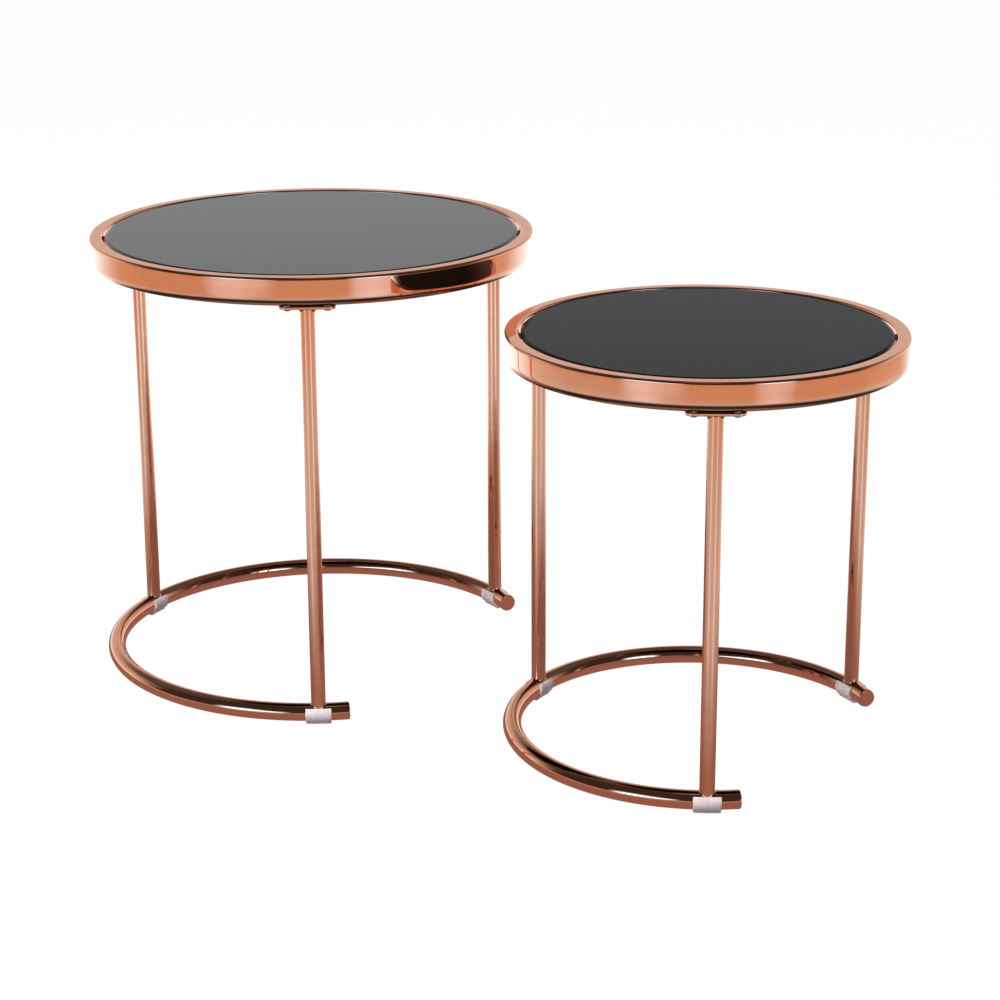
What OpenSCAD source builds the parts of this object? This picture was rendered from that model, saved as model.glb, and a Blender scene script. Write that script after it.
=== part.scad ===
// A pair of round nesting tables: polished tube frames with loose black glass tops.
// Millimetres. The floor is z = 0 and the origin is under the middle of the pair.
// Each table's base is a C, and both open towards +X, where the small table stands.

/* [Large table] */
// Diameter over the top ring
large_diameter = 500; // [420:5:640]
// Height from the floor to the top of the ring
large_height = 500; // [380:5:640]
// How far the table is turned on the floor, in degrees
large_turn = 5.5; // [-15:0.5:15]

/* [Small table] */
// Room all round between its ring and the large table's legs, when it stands inside them
nest_room_side = 24; // [10:1:60]
// Room between its ring and the large table's screw heads, when it stands under them
nest_room_top = 13; // [5:1:60]
// How far the table is turned on the floor, in degrees
small_turn = 1; // [-15:0.5:15]

/* [Place] */
// Gap between the two rings, with the small table pulled out
ring_gap = 46; // [20:1:300]

/* [Top ring] */
// Width of the rectangular tube, seen from above
ring_tube_w = 15; // [12:0.5:25]
// Height of the rectangular tube
ring_tube_h = 30; // [22:1:50]
// Wall of the tube
ring_wall = 1.2; // [0.8:0.1:2]
// Outside corner radius of the tube
ring_corner = 2.5; // [2.1:0.1:5]

/* [Glass] */
// Thickness of the glass
glass_t = 5; // [4:0.5:10]
// Gap between the glass and the ring, all round
glass_gap = 3; // [1:0.5:6]
// How far the glass lies below the top of the ring
glass_recess = 0.5; // [0:0.1:3]
// Width of the bevel round the top of the glass
bevel_w = 3; // [1:0.5:10]
// Depth of the bevel
bevel_h = 1; // [0.5:0.1:2]
// Small chamfer round the bottom of the glass
glass_arris = 0.5; // [0.2:0.1:1]

/* [Glass rests] */
// How far a tab reaches in from the ring
tab_reach = 26; // [15:1:50]
// Width of a tab
tab_w = 24; // [16:1:50]
// Thickness of a tab
tab_t = 2.5; // [1.5:0.5:5]
// Diameter of the rubber pad on a tab
pad_d = 12; // [6:1:14]
// Thickness of the pad
pad_t = 1.5; // [1:0.5:4]

/* [Legs] */
// Outside diameter of a leg tube
leg_d = 16; // [12:0.5:18]
// Wall of a leg tube
leg_wall = 1.2; // [0.8:0.1:2]
// Distance from the ring's outer face in to the middle of a leg
leg_inset = 8; // [6:0.5:16]

/* [Leg plates] */
// Length of the plate on top of a leg
plate_l = 60; // [50:1:90]
// Width of the plate
plate_w = 15; // [14:0.5:25]
// Thickness of the plate
plate_t = 3; // [2:0.5:6]
// Distance between the two screws of a plate
screw_spacing = 42; // [36:1:60]
// Radius of the weld cove between leg and plate
weld_cove = 4; // [2:0.5:5]

/* [Screws] */
// Thread diameter
screw_d = 6; // [4:1:8]
// Length under the head
screw_l = 14; // [8:1:20]
// Head diameter
head_d = 10.4; // [8:0.1:14]
// Head height
head_h = 3.2; // [2:0.1:5]
// Hexagon socket, across flats
socket_af = 4; // [2:0.5:5]
// Depth of the socket
socket_depth = 1.8; // [1:0.1:3]
// Clearance round a screw, on the radius
screw_clear = 0.2; // [0.1:0.05:0.5]

/* [Rivet nuts] */
// Outside diameter of the body
nut_d = 9; // [8:0.5:11]
// Length of the body above the ring's bottom wall
nut_l = 11; // [8:1:15]
// Diameter of the flange under the ring
flange_d = 12; // [11:0.5:14]
// Thickness of the flange
flange_t = 0.8; // [0.5:0.1:1.5]
// Most that the crushed collar stands out from the body, where the tube has room for it
collar_out = 1.2; // [0.3:0.1:1.5]
// Height of the crushed collar
collar_h = 3; // [2:0.5:4]
// Clearance of the body in the ring's hole, on the radius
nut_clear = 0.1; // [0.05:0.05:0.4]

/* [Base] */
// Outside diameter of the base tube
base_d = 20; // [19:0.5:30]
// Wall of the base tube
base_wall = 1.5; // [1:0.1:3]
// Length of base tube past the middle of each end leg
overhang = 32; // [26:1:80]

/* [End caps] */
// Thickness of the cap's disc
cap_t = 1.6; // [1:0.1:4]
// How much smaller the disc is than the tube, on the radius
cap_step = 0.2; // [0.1:0.1:1]
// Rounding of the disc's edge
cap_round = 0.8; // [0.3:0.1:0.9]
// Length of the plug inside the tube
plug_l = 8; // [4:1:20]
// Clearance of the plug in the tube, on the radius
plug_clear = 0.2; // [0.1:0.1:0.5]

/* [Glides] */
// Length of a glide along the base tube
glide_l = 26; // [16:1:40]
// Wall of the glide's clip
glide_wall = 1.8; // [1.2:0.1:3]
// Depth of the glide's flat foot below the tube
foot_drop = 2.5; // [2:0.1:6]
// Width of the flat foot
foot_w = 11; // [6:0.5:16]
// Clearance between the glide's lips and the leg
lip_clear = 0.3; // [0.1:0.1:1]

/* [Hidden] */
$fn = 96;
table_names = ["large", "small"];
leg_names = ["right", "left", "rear"];
leg_angles = [-60, 60, 180]; // from the middle of the C's opening
end_names = ["right", "left"];
end_sides = [-1, 1];
tab_count = 4;
cut = 1; // how far a cutter runs past the face it cuts

// Underside of the top ring, measured down from its top
stack_under_ring = flange_t + plate_t + head_h;
small_radius = large_diameter / 2 - leg_inset - leg_d / 2 - nest_room_side;
small_height = large_height - ring_tube_h - stack_under_ring - nest_room_top;

// One value for each table, in the order of table_names
ring_r = [large_diameter / 2, small_radius];
height = [large_height, small_height];
turn = [large_turn, small_turn];
leg_circle = [for (r = ring_r) r - leg_inset];
ring_inner_r = [for (r = ring_r) r - ring_tube_w];
ring_bottom = [for (h = height) h - ring_tube_h];
plate_top = [for (z = ring_bottom) z - flange_t];
plate_bottom = [for (z = plate_top) z - plate_t];
glass_bottom = [for (h = height) h - glass_recess - glass_t];

base_r = base_d / 2;
base_bore_r = base_r - base_wall;
base_z = base_r + foot_drop;
leg_r = leg_d / 2;
glide_r = base_r + glide_wall;
// How far a nut stands off the middle of the ring's tube, which bends away between the two screws
nut_off = max([for (t = [0, 1])
    abs(norm([leg_circle[t], screw_spacing / 2]) - ring_r[t] + ring_tube_w / 2)]);
// The collar keeps to the flat of the ring's bottom wall, or rides this little up its inner corners
collar_ride = 0.4;
collar_r = min(nut_d / 2 + collar_out, ring_tube_w / 2 - ring_corner + collar_ride - nut_off);
lip_angle = acos((leg_r + lip_clear) / base_r);

// Angles round the table's own axis that the overhang and a glide's length come to
function arc_angle(length, t) = length / leg_circle[t] * 180 / PI;
end_angle = [for (t = [0, 1]) leg_angles[1] - arc_angle(overhang, t)];

// The large table's reach towards -X: its base tube, or the rear leg's glide if that goes further
glide_edge_turn = max(0, abs(large_turn) - arc_angle(glide_l / 2, 0));
rear_reach = leg_circle[0] + max(base_r, (leg_circle[0] + glide_r) * cos(glide_edge_turn) - leg_circle[0]);
centre_gap = ring_r[0] + ring_gap + ring_r[1];
large_x = (rear_reach - ring_r[1] - centre_gap) / 2;
centre_x = [large_x, large_x + centre_gap];

// Puts children at the centre of table t, on the floor, turned as the table is
module on_table(t) {
    translate([centre_x[t], 0, 0])
        rotate([0, 0, turn[t]])
            children();
}

// Puts children at the foot of leg i, with +X pointing away from the table's centre
module at_leg(t, i) {
    on_table(t)
        rotate([0, 0, leg_angles[i]])
            translate([leg_circle[t], 0, 0])
                children();
}

// Puts children at both screw places of a leg's plate
module at_screws() {
    for (side = [-1, 1])
        translate([0, side * screw_spacing / 2, 0])
            children();
}

// Puts children at tab k, with +X pointing away from the table's centre
module at_tab(t, k) {
    on_table(t)
        rotate([0, 0, leg_angles[0] + (k - 1) * 360 / tab_count])
            children();
}

// A rectangle with round corners, centred
module rounded_rect(w, h, r) {
    square([w, h - 2 * r], center = true);
    square([w - 2 * r, h], center = true);
    for (x = [-1, 1], y = [-1, 1])
        translate([x * (w / 2 - r), y * (h / 2 - r)])
            circle(r);
}

// The rolled rectangular tube, drilled from below for the rivet nuts
module top_ring(t) {
    color("#c98a63")
        difference() {
            on_table(t)
                rotate_extrude()
                    translate([ring_r[t] - ring_tube_w / 2, height[t] - ring_tube_h / 2])
                        difference() {
                            rounded_rect(ring_tube_w, ring_tube_h, ring_corner);
                            rounded_rect(
                                ring_tube_w - 2 * ring_wall,
                                ring_tube_h - 2 * ring_wall,
                                ring_corner - ring_wall
                            );
                        }
            for (i = [0 : 2])
                at_leg(t, i)
                    at_screws()
                        translate([0, 0, ring_bottom[t] - cut])
                            cylinder(d = nut_d + 2 * nut_clear, h = ring_wall + 2 * cut);
        }
}

// The glass disc, bevelled round the top
module glass_top(t) {
    glass_r = ring_inner_r[t] - glass_gap;
    color("#1b1b1d")
        on_table(t)
            translate([0, 0, glass_bottom[t]])
                rotate_extrude()
                    polygon([
                        [0, 0],
                        [glass_r - glass_arris, 0],
                        [glass_r, glass_arris],
                        [glass_r, glass_t - bevel_h],
                        [glass_r - bevel_w, glass_t],
                        [0, glass_t]
                    ]);
}

// A tab with a round end, welded to the ring's inner wall
module glass_tab(t, k) {
    round_r = tab_w / 2;
    tip_x = ring_inner_r[t] - tab_reach + round_r;
    color("#b97a55")
        intersection() {
            at_tab(t, k)
                translate([0, 0, glass_bottom[t] - pad_t - tab_t]) {
                    translate([tip_x, 0, 0])
                        cylinder(r = round_r, h = tab_t);
                    translate([tip_x, -round_r, 0])
                        cube([tab_reach, tab_w, tab_t]);
                }
            on_table(t)
                cylinder(r = ring_inner_r[t], h = height[t]);
        }
}

// The rubber pads between the tabs and the glass
module glass_pads(t) {
    color("#2a2a2a")
        for (k = [1 : tab_count])
            at_tab(t, k)
                translate([ring_inner_r[t] - tab_reach + tab_w / 2, 0, glass_bottom[t] - pad_t])
                    cylinder(d = pad_d, h = pad_t);
}

// A leg tube, coped at its foot to sit on the base tube
module leg(t, i) {
    leg_l = plate_bottom[t] - base_z;
    color("#b97a55")
        difference() {
            at_leg(t, i)
                translate([0, 0, base_z])
                    cylinder(r = leg_r, h = leg_l);
            at_leg(t, i)
                translate([0, 0, base_z - cut])
                    cylinder(r = leg_r - leg_wall, h = leg_l + 2 * cut);
            on_table(t)
                rotate_extrude()
                    translate([leg_circle[t], base_z])
                        circle(base_r);
        }
}

// The cove of weld under a plate, round the top of the leg; its edges are lip thick
module weld_collar() {
    lip = 0.4;
    reach = weld_cove + lip;
    rotate_extrude()
        difference() {
            translate([leg_r, -reach])
                square([reach, reach]);
            translate([leg_r + reach, -reach])
                circle(weld_cove);
        }
}

// The flat plate on top of a leg, with a hole for each screw
module plate(t, i) {
    end_x = (plate_l - plate_w) / 2;
    color("#c98a63")
        at_leg(t, i)
            translate([0, 0, plate_bottom[t]]) {
                difference() {
                    union() {
                        translate([-plate_w / 2, -end_x, 0])
                            cube([plate_w, 2 * end_x, plate_t]);
                        for (side = [-1, 1])
                            translate([0, side * end_x, 0])
                                cylinder(d = plate_w, h = plate_t);
                    }
                    at_screws()
                        translate([0, 0, -cut])
                            cylinder(r = screw_d / 2 + screw_clear, h = plate_t + 2 * cut);
                }
                intersection() {
                    weld_collar();
                    translate([-plate_w / 2, -plate_l / 2, -plate_l / 2])
                        cube([plate_w, plate_l, plate_l]);
                }
            }
}

// A button-head screw, head down, its seat at z = 0
module screw() {
    rim_h = head_h / 4;
    dome_h = head_h - rim_h;
    dome_r = (pow(head_d / 2, 2) + dome_h * dome_h) / (2 * dome_h);
    difference() {
        rotate_extrude()
            intersection() {
                translate([0, -head_h])
                    square([head_d / 2, head_h]);
                translate([0, dome_r - head_h])
                    circle(dome_r);
            }
        translate([0, 0, -head_h - cut])
            cylinder(d = socket_af / cos(30), h = socket_depth + cut, $fn = 6);
    }
    cylinder(r = screw_d / 2 - screw_clear / 2, h = screw_l);
}

module plate_screws(t) {
    color("silver")
        for (i = [0 : 2])
            at_leg(t, i)
                at_screws()
                    translate([0, 0, plate_bottom[t]])
                        screw();
}

// A rivet nut set in the ring's bottom wall, whose underside is z = 0
module rivet_nut() {
    difference() {
        union() {
            translate([0, 0, -flange_t])
                cylinder(d = flange_d, h = flange_t);
            cylinder(d = nut_d, h = ring_wall + nut_l);
            translate([0, 0, ring_wall])
                cylinder(r = collar_r, h = collar_h);
        }
        translate([0, 0, -flange_t - cut])
            cylinder(d = screw_d, h = flange_t + ring_wall + nut_l + 2 * cut);
    }
}

module rivet_nuts(t) {
    color("lightgray")
        for (i = [0 : 2])
            at_leg(t, i)
                at_screws()
                    translate([0, 0, ring_bottom[t]])
                        rivet_nut();
}

// The C-shaped tube that the legs stand on
module base_tube(t) {
    color("#a5654a")
        on_table(t)
            rotate([0, 0, end_angle[t]])
                rotate_extrude(angle = 360 - 2 * end_angle[t])
                    translate([leg_circle[t], base_z])
                        difference() {
                            circle(base_r);
                            circle(base_bore_r);
                        }
}

// A pressed-in cap that closes one end of the base tube
module end_cap(t, e) {
    disc_r = base_r - cap_step;
    color("#a5654a")
        on_table(t)
            rotate([0, 0, end_sides[e] * end_angle[t]])
                translate([leg_circle[t], 0, base_z])
                    rotate([end_sides[e] * 90, 0, 0]) {
                        rotate_extrude() {
                            square([disc_r, cap_t - cap_round]);
                            square([disc_r - cap_round, cap_t]);
                            translate([disc_r - cap_round, cap_t - cap_round])
                                circle(cap_round);
                        }
                        translate([0, 0, -plug_l])
                            cylinder(r = base_bore_r - plug_clear, h = plug_l);
                    }
}

// A plastic clip round the underside of the base tube, with a flat foot, open above for the leg
module glide(t, i) {
    span = arc_angle(glide_l, t);
    far = 2 * glide_r;
    color("#d9cdcb")
        on_table(t)
            rotate([0, 0, leg_angles[i] - span / 2])
                rotate_extrude(angle = span)
                    translate([leg_circle[t], base_z])
                        difference() {
                            union() {
                                circle(glide_r);
                                translate([-foot_w / 2, -base_z])
                                    square([foot_w, base_z]);
                            }
                            circle(base_r);
                            polygon([
                                [0, 0],
                                [far * cos(lip_angle), far * sin(lip_angle)],
                                [-far * cos(lip_angle), far * sin(lip_angle)]
                            ]);
                        }
}

for (t = [0, 1]) {
    name = table_names[t];
    top_ring(t);
    glass_top(t);
    glass_pads(t);
    plate_screws(t);
    rivet_nuts(t);
    base_tube(t);
    for (k = [1 : tab_count])
        glass_tab(t, k);
    for (i = [0 : 2]) {
        leg(t, i);
        plate(t, i);
        glide(t, i);
    }
    for (e = [0, 1])
        end_cap(t, e);
}
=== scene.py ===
import math

import bmesh
import bpy
from mathutils import Matrix, Vector


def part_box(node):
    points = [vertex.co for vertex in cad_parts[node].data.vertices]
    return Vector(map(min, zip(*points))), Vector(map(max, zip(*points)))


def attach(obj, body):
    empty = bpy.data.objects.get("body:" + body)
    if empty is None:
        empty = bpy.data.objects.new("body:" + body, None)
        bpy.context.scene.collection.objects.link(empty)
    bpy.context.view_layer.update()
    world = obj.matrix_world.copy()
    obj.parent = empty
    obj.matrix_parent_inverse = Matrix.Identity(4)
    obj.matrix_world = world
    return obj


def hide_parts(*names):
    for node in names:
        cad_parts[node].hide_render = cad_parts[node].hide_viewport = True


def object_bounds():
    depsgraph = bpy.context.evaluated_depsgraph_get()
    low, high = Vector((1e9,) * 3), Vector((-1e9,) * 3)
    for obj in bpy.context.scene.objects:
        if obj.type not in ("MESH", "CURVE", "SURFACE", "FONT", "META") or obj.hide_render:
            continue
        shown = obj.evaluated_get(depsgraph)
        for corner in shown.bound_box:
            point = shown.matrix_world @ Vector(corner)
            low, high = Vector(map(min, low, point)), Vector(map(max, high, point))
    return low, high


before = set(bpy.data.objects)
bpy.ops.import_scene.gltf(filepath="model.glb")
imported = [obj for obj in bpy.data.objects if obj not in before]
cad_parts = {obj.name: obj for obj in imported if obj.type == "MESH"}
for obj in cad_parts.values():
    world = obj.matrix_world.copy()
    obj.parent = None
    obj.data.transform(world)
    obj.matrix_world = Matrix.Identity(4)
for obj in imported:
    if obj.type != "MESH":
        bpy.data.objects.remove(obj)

cadLow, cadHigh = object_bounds()
scene = bpy.context.scene
tableNames = ("large", "small")
legNames = ("right", "left", "rear")
endNames = ("right", "left")
tabNames = ("1", "2", "3", "4")
upward = Vector((0, 0, 1))
print("frame loaded")


def nodePoints(node):
    return [v.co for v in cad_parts[node].data.vertices]


def directionAt(angle):
    return Vector((math.cos(angle), math.sin(angle), 0))


def spanAt(node, origin, angle, reach=10):
    # lowest and highest (outward, sideways, up) of a node's points within reach of origin
    outward, sideways = directionAt(angle), directionAt(angle + math.pi / 2)
    rows = []
    for point in nodePoints(node):
        offset = point - origin
        if offset.xy.length < reach:
            rows.append((offset.dot(outward), offset.dot(sideways), point.z))
    return [min(c) for c in zip(*rows)], [max(c) for c in zip(*rows)]


def angleOf(node, centre):
    low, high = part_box(node)
    middle = (low + high) / 2 - centre
    return math.atan2(middle.y, middle.x)


def measureTable(name):
    low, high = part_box(f"{name}_top_ring")
    centre = Vector(((low.x + high.x) / 2, (low.y + high.y) / 2, 0))
    table = {"name": name, "centre": centre, "ringRadius": (high.x - low.x) / 2}
    table["ringTop"], table["ringBottom"] = high.z, low.z
    table["ringInner"] = min((p - centre).xy.length for p in nodePoints(f"{name}_top_ring"))
    table["legAngles"] = [angleOf(f"{name}_leg_{leg}", centre) for leg in legNames]
    table["turn"] = table["legAngles"][2] - math.pi

    legLow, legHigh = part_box(f"{name}_leg_rear")
    table["legRadius"] = (legHigh.y - legLow.y) / 2
    table["legCircle"] = ((legLow + legHigh) / 2 - centre).xy.length
    table["plateBottom"] = legHigh.z
    low, high = spanAt(f"{name}_plate_rear", centre, table["legAngles"][2])
    table["plateWidth"], table["plateLength"] = high[0] - low[0], high[1] - low[1]
    table["plateTop"], table["cove"] = high[2], table["plateBottom"] - low[2]

    legPoint = centre + directionAt(table["legAngles"][2]) * table["legCircle"]
    low, high = spanAt(f"{name}_plate_screws", legPoint, table["legAngles"][2], table["plateLength"])
    table["headRadius"], table["headBottom"], table["screwTip"] = high[0], low[2], high[2]
    table["screwSpacing"] = 2 * (high[1] - high[0])

    low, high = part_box(f"{name}_base_tube")
    table["baseRadius"], table["baseHeight"] = (high.z - low.z) / 2, (high.z + low.z) / 2
    opening = []
    for point in nodePoints(f"{name}_base_tube"):
        turned = (point - centre).xy.angle_signed(directionAt(table["turn"]).xy)
        opening.append(abs(turned))
    table["endAngle"] = min(opening)
    low, high = spanAt(f"{name}_end_cap_left", centre, table["turn"] + table["endAngle"])
    table["capThickness"] = -low[1]
    low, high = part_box(f"{name}_end_cap_left")
    table["capRadius"] = (high.z - low.z) / 2

    low, high = spanAt(f"{name}_glide_rear", centre, table["legAngles"][2])
    table["glideRadius"], table["glideLength"] = high[0] - table["legCircle"], high[1] - low[1]
    table["glideLip"] = math.asin((high[2] - table["baseHeight"]) / table["glideRadius"])

    low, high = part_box(f"{name}_glass_top")
    table["glassRadius"], table["glassBottom"], table["glassTop"] = (high.x - low.x) / 2, low.z, high.z
    table["tabAngle"] = table["legAngles"][0]
    low, high = spanAt(f"{name}_glass_tab_1", centre, table["tabAngle"])
    table["tabTip"], table["tabWidth"] = low[0], high[1] - low[1]
    table["tabBottom"], table["tabTop"] = low[2], high[2]
    tabPoint = centre + directionAt(table["tabAngle"]) * (table["tabTip"] + table["tabWidth"] / 2)
    low, high = spanAt(f"{name}_glass_pads", tabPoint, table["tabAngle"], table["tabWidth"])
    table["padRadius"], table["padTop"] = (high[1] - low[1]) / 2, high[2]
    return table


tables = [measureTable(name) for name in tableNames]
for table in tables:
    print(table["name"], {k: round(v, 4) for k, v in table.items() if isinstance(v, float)})

cameraView = {
    "azimuth": 32.9,  # degrees, round the pair
    "elevation": 17.81,
    "roll": -0.234,
    "distance": 2.808,
    "lens": 90.9,  # millimetres, on a 36 mm sensor
    "aim": Vector((0.0189, 0.0015, -0.0289)),  # from the middle of the pair's box
}


def makeCamera(view):
    azimuth, elevation = math.radians(view["azimuth"]), math.radians(view["elevation"])
    back = Vector((
        math.sin(azimuth) * math.cos(elevation),
        -math.cos(azimuth) * math.cos(elevation),
        math.sin(elevation),
    ))
    aim = (cadLow + cadHigh) / 2 + view["aim"]
    camera = bpy.data.objects.new("camera", bpy.data.cameras.new("camera"))
    camera.data.lens = view["lens"]
    camera.data.sensor_width = 36
    turned = (-back).to_track_quat("-Z", "Y").to_matrix().to_4x4()
    rolled = Matrix.Rotation(math.radians(view["roll"]), 4, "Z")
    camera.matrix_world = Matrix.Translation(aim + back * view["distance"]) @ turned @ rolled
    scene.collection.objects.link(camera)
    scene.camera = camera
    ahead = Vector((-back.x, -back.y, 0)).normalized()
    return ahead, ahead.cross(upward)


aheadWay, rightWay = makeCamera(cameraView)
print("camera placed")


def put(tree, kind, values=None, **settings):
    node = tree.nodes.new(kind)
    for key, value in settings.items():
        setattr(node, key, value)
    for key, value in (values or {}).items():
        if isinstance(value, bpy.types.NodeSocket):
            tree.links.new(value, node.inputs[key])
        else:
            node.inputs[key].default_value = value
    return node


def calc(tree, operation, *values):
    return put(tree, "ShaderNodeMath", dict(enumerate(values)), operation=operation).outputs[0]


def vectorCalc(tree, operation, *values):
    node = put(tree, "ShaderNodeVectorMath", dict(enumerate(values)), operation=operation)
    return node.outputs["Value" if operation in ("DOT_PRODUCT", "LENGTH", "DISTANCE") else "Vector"]


def ease(tree, value, start, end, low=0.0, high=1.0):
    # low before start, high after end, and smooth between them
    values = {"Value": value, "From Min": start, "From Max": end, "To Min": low, "To Max": high}
    return put(tree, "ShaderNodeMapRange", values, interpolation_type="SMOOTHSTEP").outputs[0]


def mixColour(tree, factor, first, second):
    node = put(tree, "ShaderNodeMix", {0: factor, 6: first, 7: second}, data_type="RGBA")
    return node.outputs[2]


def noise(tree, vector, scale, detail=2.0, roughness=0.5):
    values = {"Vector": vector, "Scale": scale, "Detail": detail, "Roughness": roughness}
    return put(tree, "ShaderNodeTexNoise", values).outputs["Fac"]


def makeGroup(kind, name, inputs, outputs):
    # inputs: (name, socket type, value); outputs: (name, socket type)
    tree = bpy.data.node_groups.new(name, kind)
    for label, socket, value in inputs:
        made = tree.interface.new_socket(label, in_out="INPUT", socket_type=socket)
        if value is not None:
            made.default_value = value
    for label, socket in outputs:
        tree.interface.new_socket(label, in_out="OUTPUT", socket_type=socket)
    return tree, tree.nodes.new("NodeGroupInput").outputs, tree.nodes.new("NodeGroupOutput")


def colour(red, green, blue):
    return (red, green, blue, 1.0)


markShape = {
    "streakEdge": (0.42, 0.68),  # noise between which a polishing streak shows
    "smudgeEdge": (0.5, 0.72),
    "speck": 0.16,  # size of a dust speck, as a share of its cell
    "lying": (0.2, 0.9),  # how far a surface faces up, between no dust and all of it
    "closeWaves": (4.0, 0.12),  # how much finer the second wave is, and its share
}


def makePolishGroup():
    # fine lines left by drawing and polishing; X of the vector runs along them
    tree, given, out = makeGroup(
        "ShaderNodeTree", "polishLines",
        [("Vector", "NodeSocketVector", None), ("Along", "NodeSocketFloat", 6.0),
         ("Across", "NodeSocketFloat", 900.0)],
        [("Height", "NodeSocketFloat"), ("Streak", "NodeSocketFloat")],
    )
    stretch = put(tree, "ShaderNodeCombineXYZ", {0: given["Along"], 1: given["Across"], 2: given["Across"]})
    stretched = vectorCalc(tree, "MULTIPLY", given["Vector"], stretch.outputs[0])
    fine = noise(tree, stretched, 1.0, 2.0, 0.6)
    broad = noise(tree, stretched, 0.12, 1.0)
    tree.links.new(fine, out.inputs["Height"])
    tree.links.new(ease(tree, broad, *markShape["streakEdge"]), out.inputs["Streak"])
    return tree


def makeHandlingGroup():
    # what a used surface picks up: wiped smudges and specks of dust, stronger on what faces up
    tree, given, out = makeGroup(
        "ShaderNodeTree", "handlingMarks",
        [("Vector", "NodeSocketVector", None), ("Smudge Scale", "NodeSocketFloat", 14.0),
         ("Dust Scale", "NodeSocketFloat", 900.0), ("Dust Share", "NodeSocketFloat", 0.2)],
        [("Smudge", "NodeSocketFloat"), ("Dust", "NodeSocketFloat")],
    )
    cloud = noise(tree, given["Vector"], given["Smudge Scale"], 5.0, 0.62)
    tree.links.new(ease(tree, cloud, *markShape["smudgeEdge"]), out.inputs["Smudge"])
    specks = put(tree, "ShaderNodeTexVoronoi", {"Vector": given["Vector"], "Scale": given["Dust Scale"]})
    small = calc(tree, "LESS_THAN", specks.outputs["Distance"], markShape["speck"])
    picked = put(tree, "ShaderNodeSeparateColor", {0: specks.outputs["Color"]})
    rare = calc(tree, "LESS_THAN", picked.outputs[0], given["Dust Share"])
    lying = ease(tree, facingUp(tree), *markShape["lying"])
    dust = calc(tree, "MULTIPLY", calc(tree, "MULTIPLY", small, rare), lying)
    tree.links.new(dust, out.inputs["Dust"])
    return tree


def makeWaveGroup():
    # the slight unevenness of rolled tube and plate, which bends what it mirrors
    tree, given, out = makeGroup(
        "ShaderNodeTree", "rolledUnevenness",
        [("Vector", "NodeSocketVector", None), ("Scale", "NodeSocketFloat", 18.0)],
        [("Height", "NodeSocketFloat")],
    )
    finer, share = markShape["closeWaves"]
    broad = noise(tree, given["Vector"], given["Scale"], 1.0)
    close = noise(tree, given["Vector"], calc(tree, "MULTIPLY", given["Scale"], finer), 1.0)
    height = calc(tree, "ADD", broad, calc(tree, "MULTIPLY", close, share))
    tree.links.new(height, out.inputs["Height"])
    return tree


def makeRoundGroup():
    # turns a place into (distance round the axis, distance from the axis, height)
    tree, given, out = makeGroup(
        "ShaderNodeTree", "roundTheAxis",
        [("Vector", "NodeSocketVector", None), ("Centre", "NodeSocketVector", None),
         ("Radius", "NodeSocketFloat", 0.2)],
        [("Vector", "NodeSocketVector")],
    )
    centred = vectorCalc(tree, "SUBTRACT", given["Vector"], given["Centre"])
    parts = put(tree, "ShaderNodeSeparateXYZ", {0: centred}).outputs
    angle = calc(tree, "ARCTAN2", parts[1], parts[0])
    flat = put(tree, "ShaderNodeCombineXYZ", {0: parts[0], 1: parts[1]}).outputs[0]
    around = calc(tree, "MULTIPLY", angle, given["Radius"])
    distance = vectorCalc(tree, "LENGTH", flat)
    joined = put(tree, "ShaderNodeCombineXYZ", {0: around, 1: distance, 2: parts[2]})
    tree.links.new(joined.outputs[0], out.inputs["Vector"])
    return tree


def useGroup(tree, group, values):
    node = tree.nodes.new("ShaderNodeGroup")
    node.node_tree = group
    for key, value in values.items():
        if isinstance(value, bpy.types.NodeSocket):
            tree.links.new(value, node.inputs[key])
        else:
            node.inputs[key].default_value = value
    return node.outputs


def newMaterial(name):
    material = bpy.data.materials.new(name)
    material.use_nodes = True
    tree = material.node_tree
    shader = tree.nodes["Principled BSDF"]
    place = put(tree, "ShaderNodeTexCoord").outputs["Object"]
    return material, tree, shader, place


def wireShader(tree, shader, tint, rough, normal):
    tree.links.new(tint, shader.inputs["Base Color"])
    tree.links.new(rough, shader.inputs["Roughness"])
    tree.links.new(normal, shader.inputs["Normal"])


def facingUp(tree):
    normal = put(tree, "ShaderNodeNewGeometry").outputs["Normal"]
    return put(tree, "ShaderNodeSeparateXYZ", {0: normal}).outputs[2]


polishLines = makePolishGroup()
handlingMarks = makeHandlingGroup()
rolledUnevenness = makeWaveGroup()
roundTheAxis = makeRoundGroup()

copperFinish = {
    "light": colour(0.92, 0.44, 0.275),
    "deep": colour(0.85, 0.37, 0.225),
    "dust": colour(0.70, 0.66, 0.62),
    # painted shade for the upward faces of plates and tabs, standing in for the shadow under the ring
    "paintedShade": colour(0.020, 0.014, 0.012),
    "edgeTint": colour(1.0, 0.93, 0.88),  # keeps glancing reflections copper
    "roughness": 0.03,
    "smudged": 0.075,  # roughness of a smudge
    "waveDepth": 0.00030,
    "lineDepth": 0.000004,
    "smudgeTone": 0.5,  # how far a smudge, a streak and dust change the colour
    "streakTone": 0.35,
    "dustTone": 0.5,
    "streakRough": 0.02,  # what they add to the roughness
    "dustRough": 0.3,
    "paintedShadeRough": 0.5,
    "paintedShadeEdge": (0.3, 0.8),  # how far a face looks up, between no painted shade and all of it
    "smudgeScale": 22.0,
    "dustShare": 0.05,
}


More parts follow.
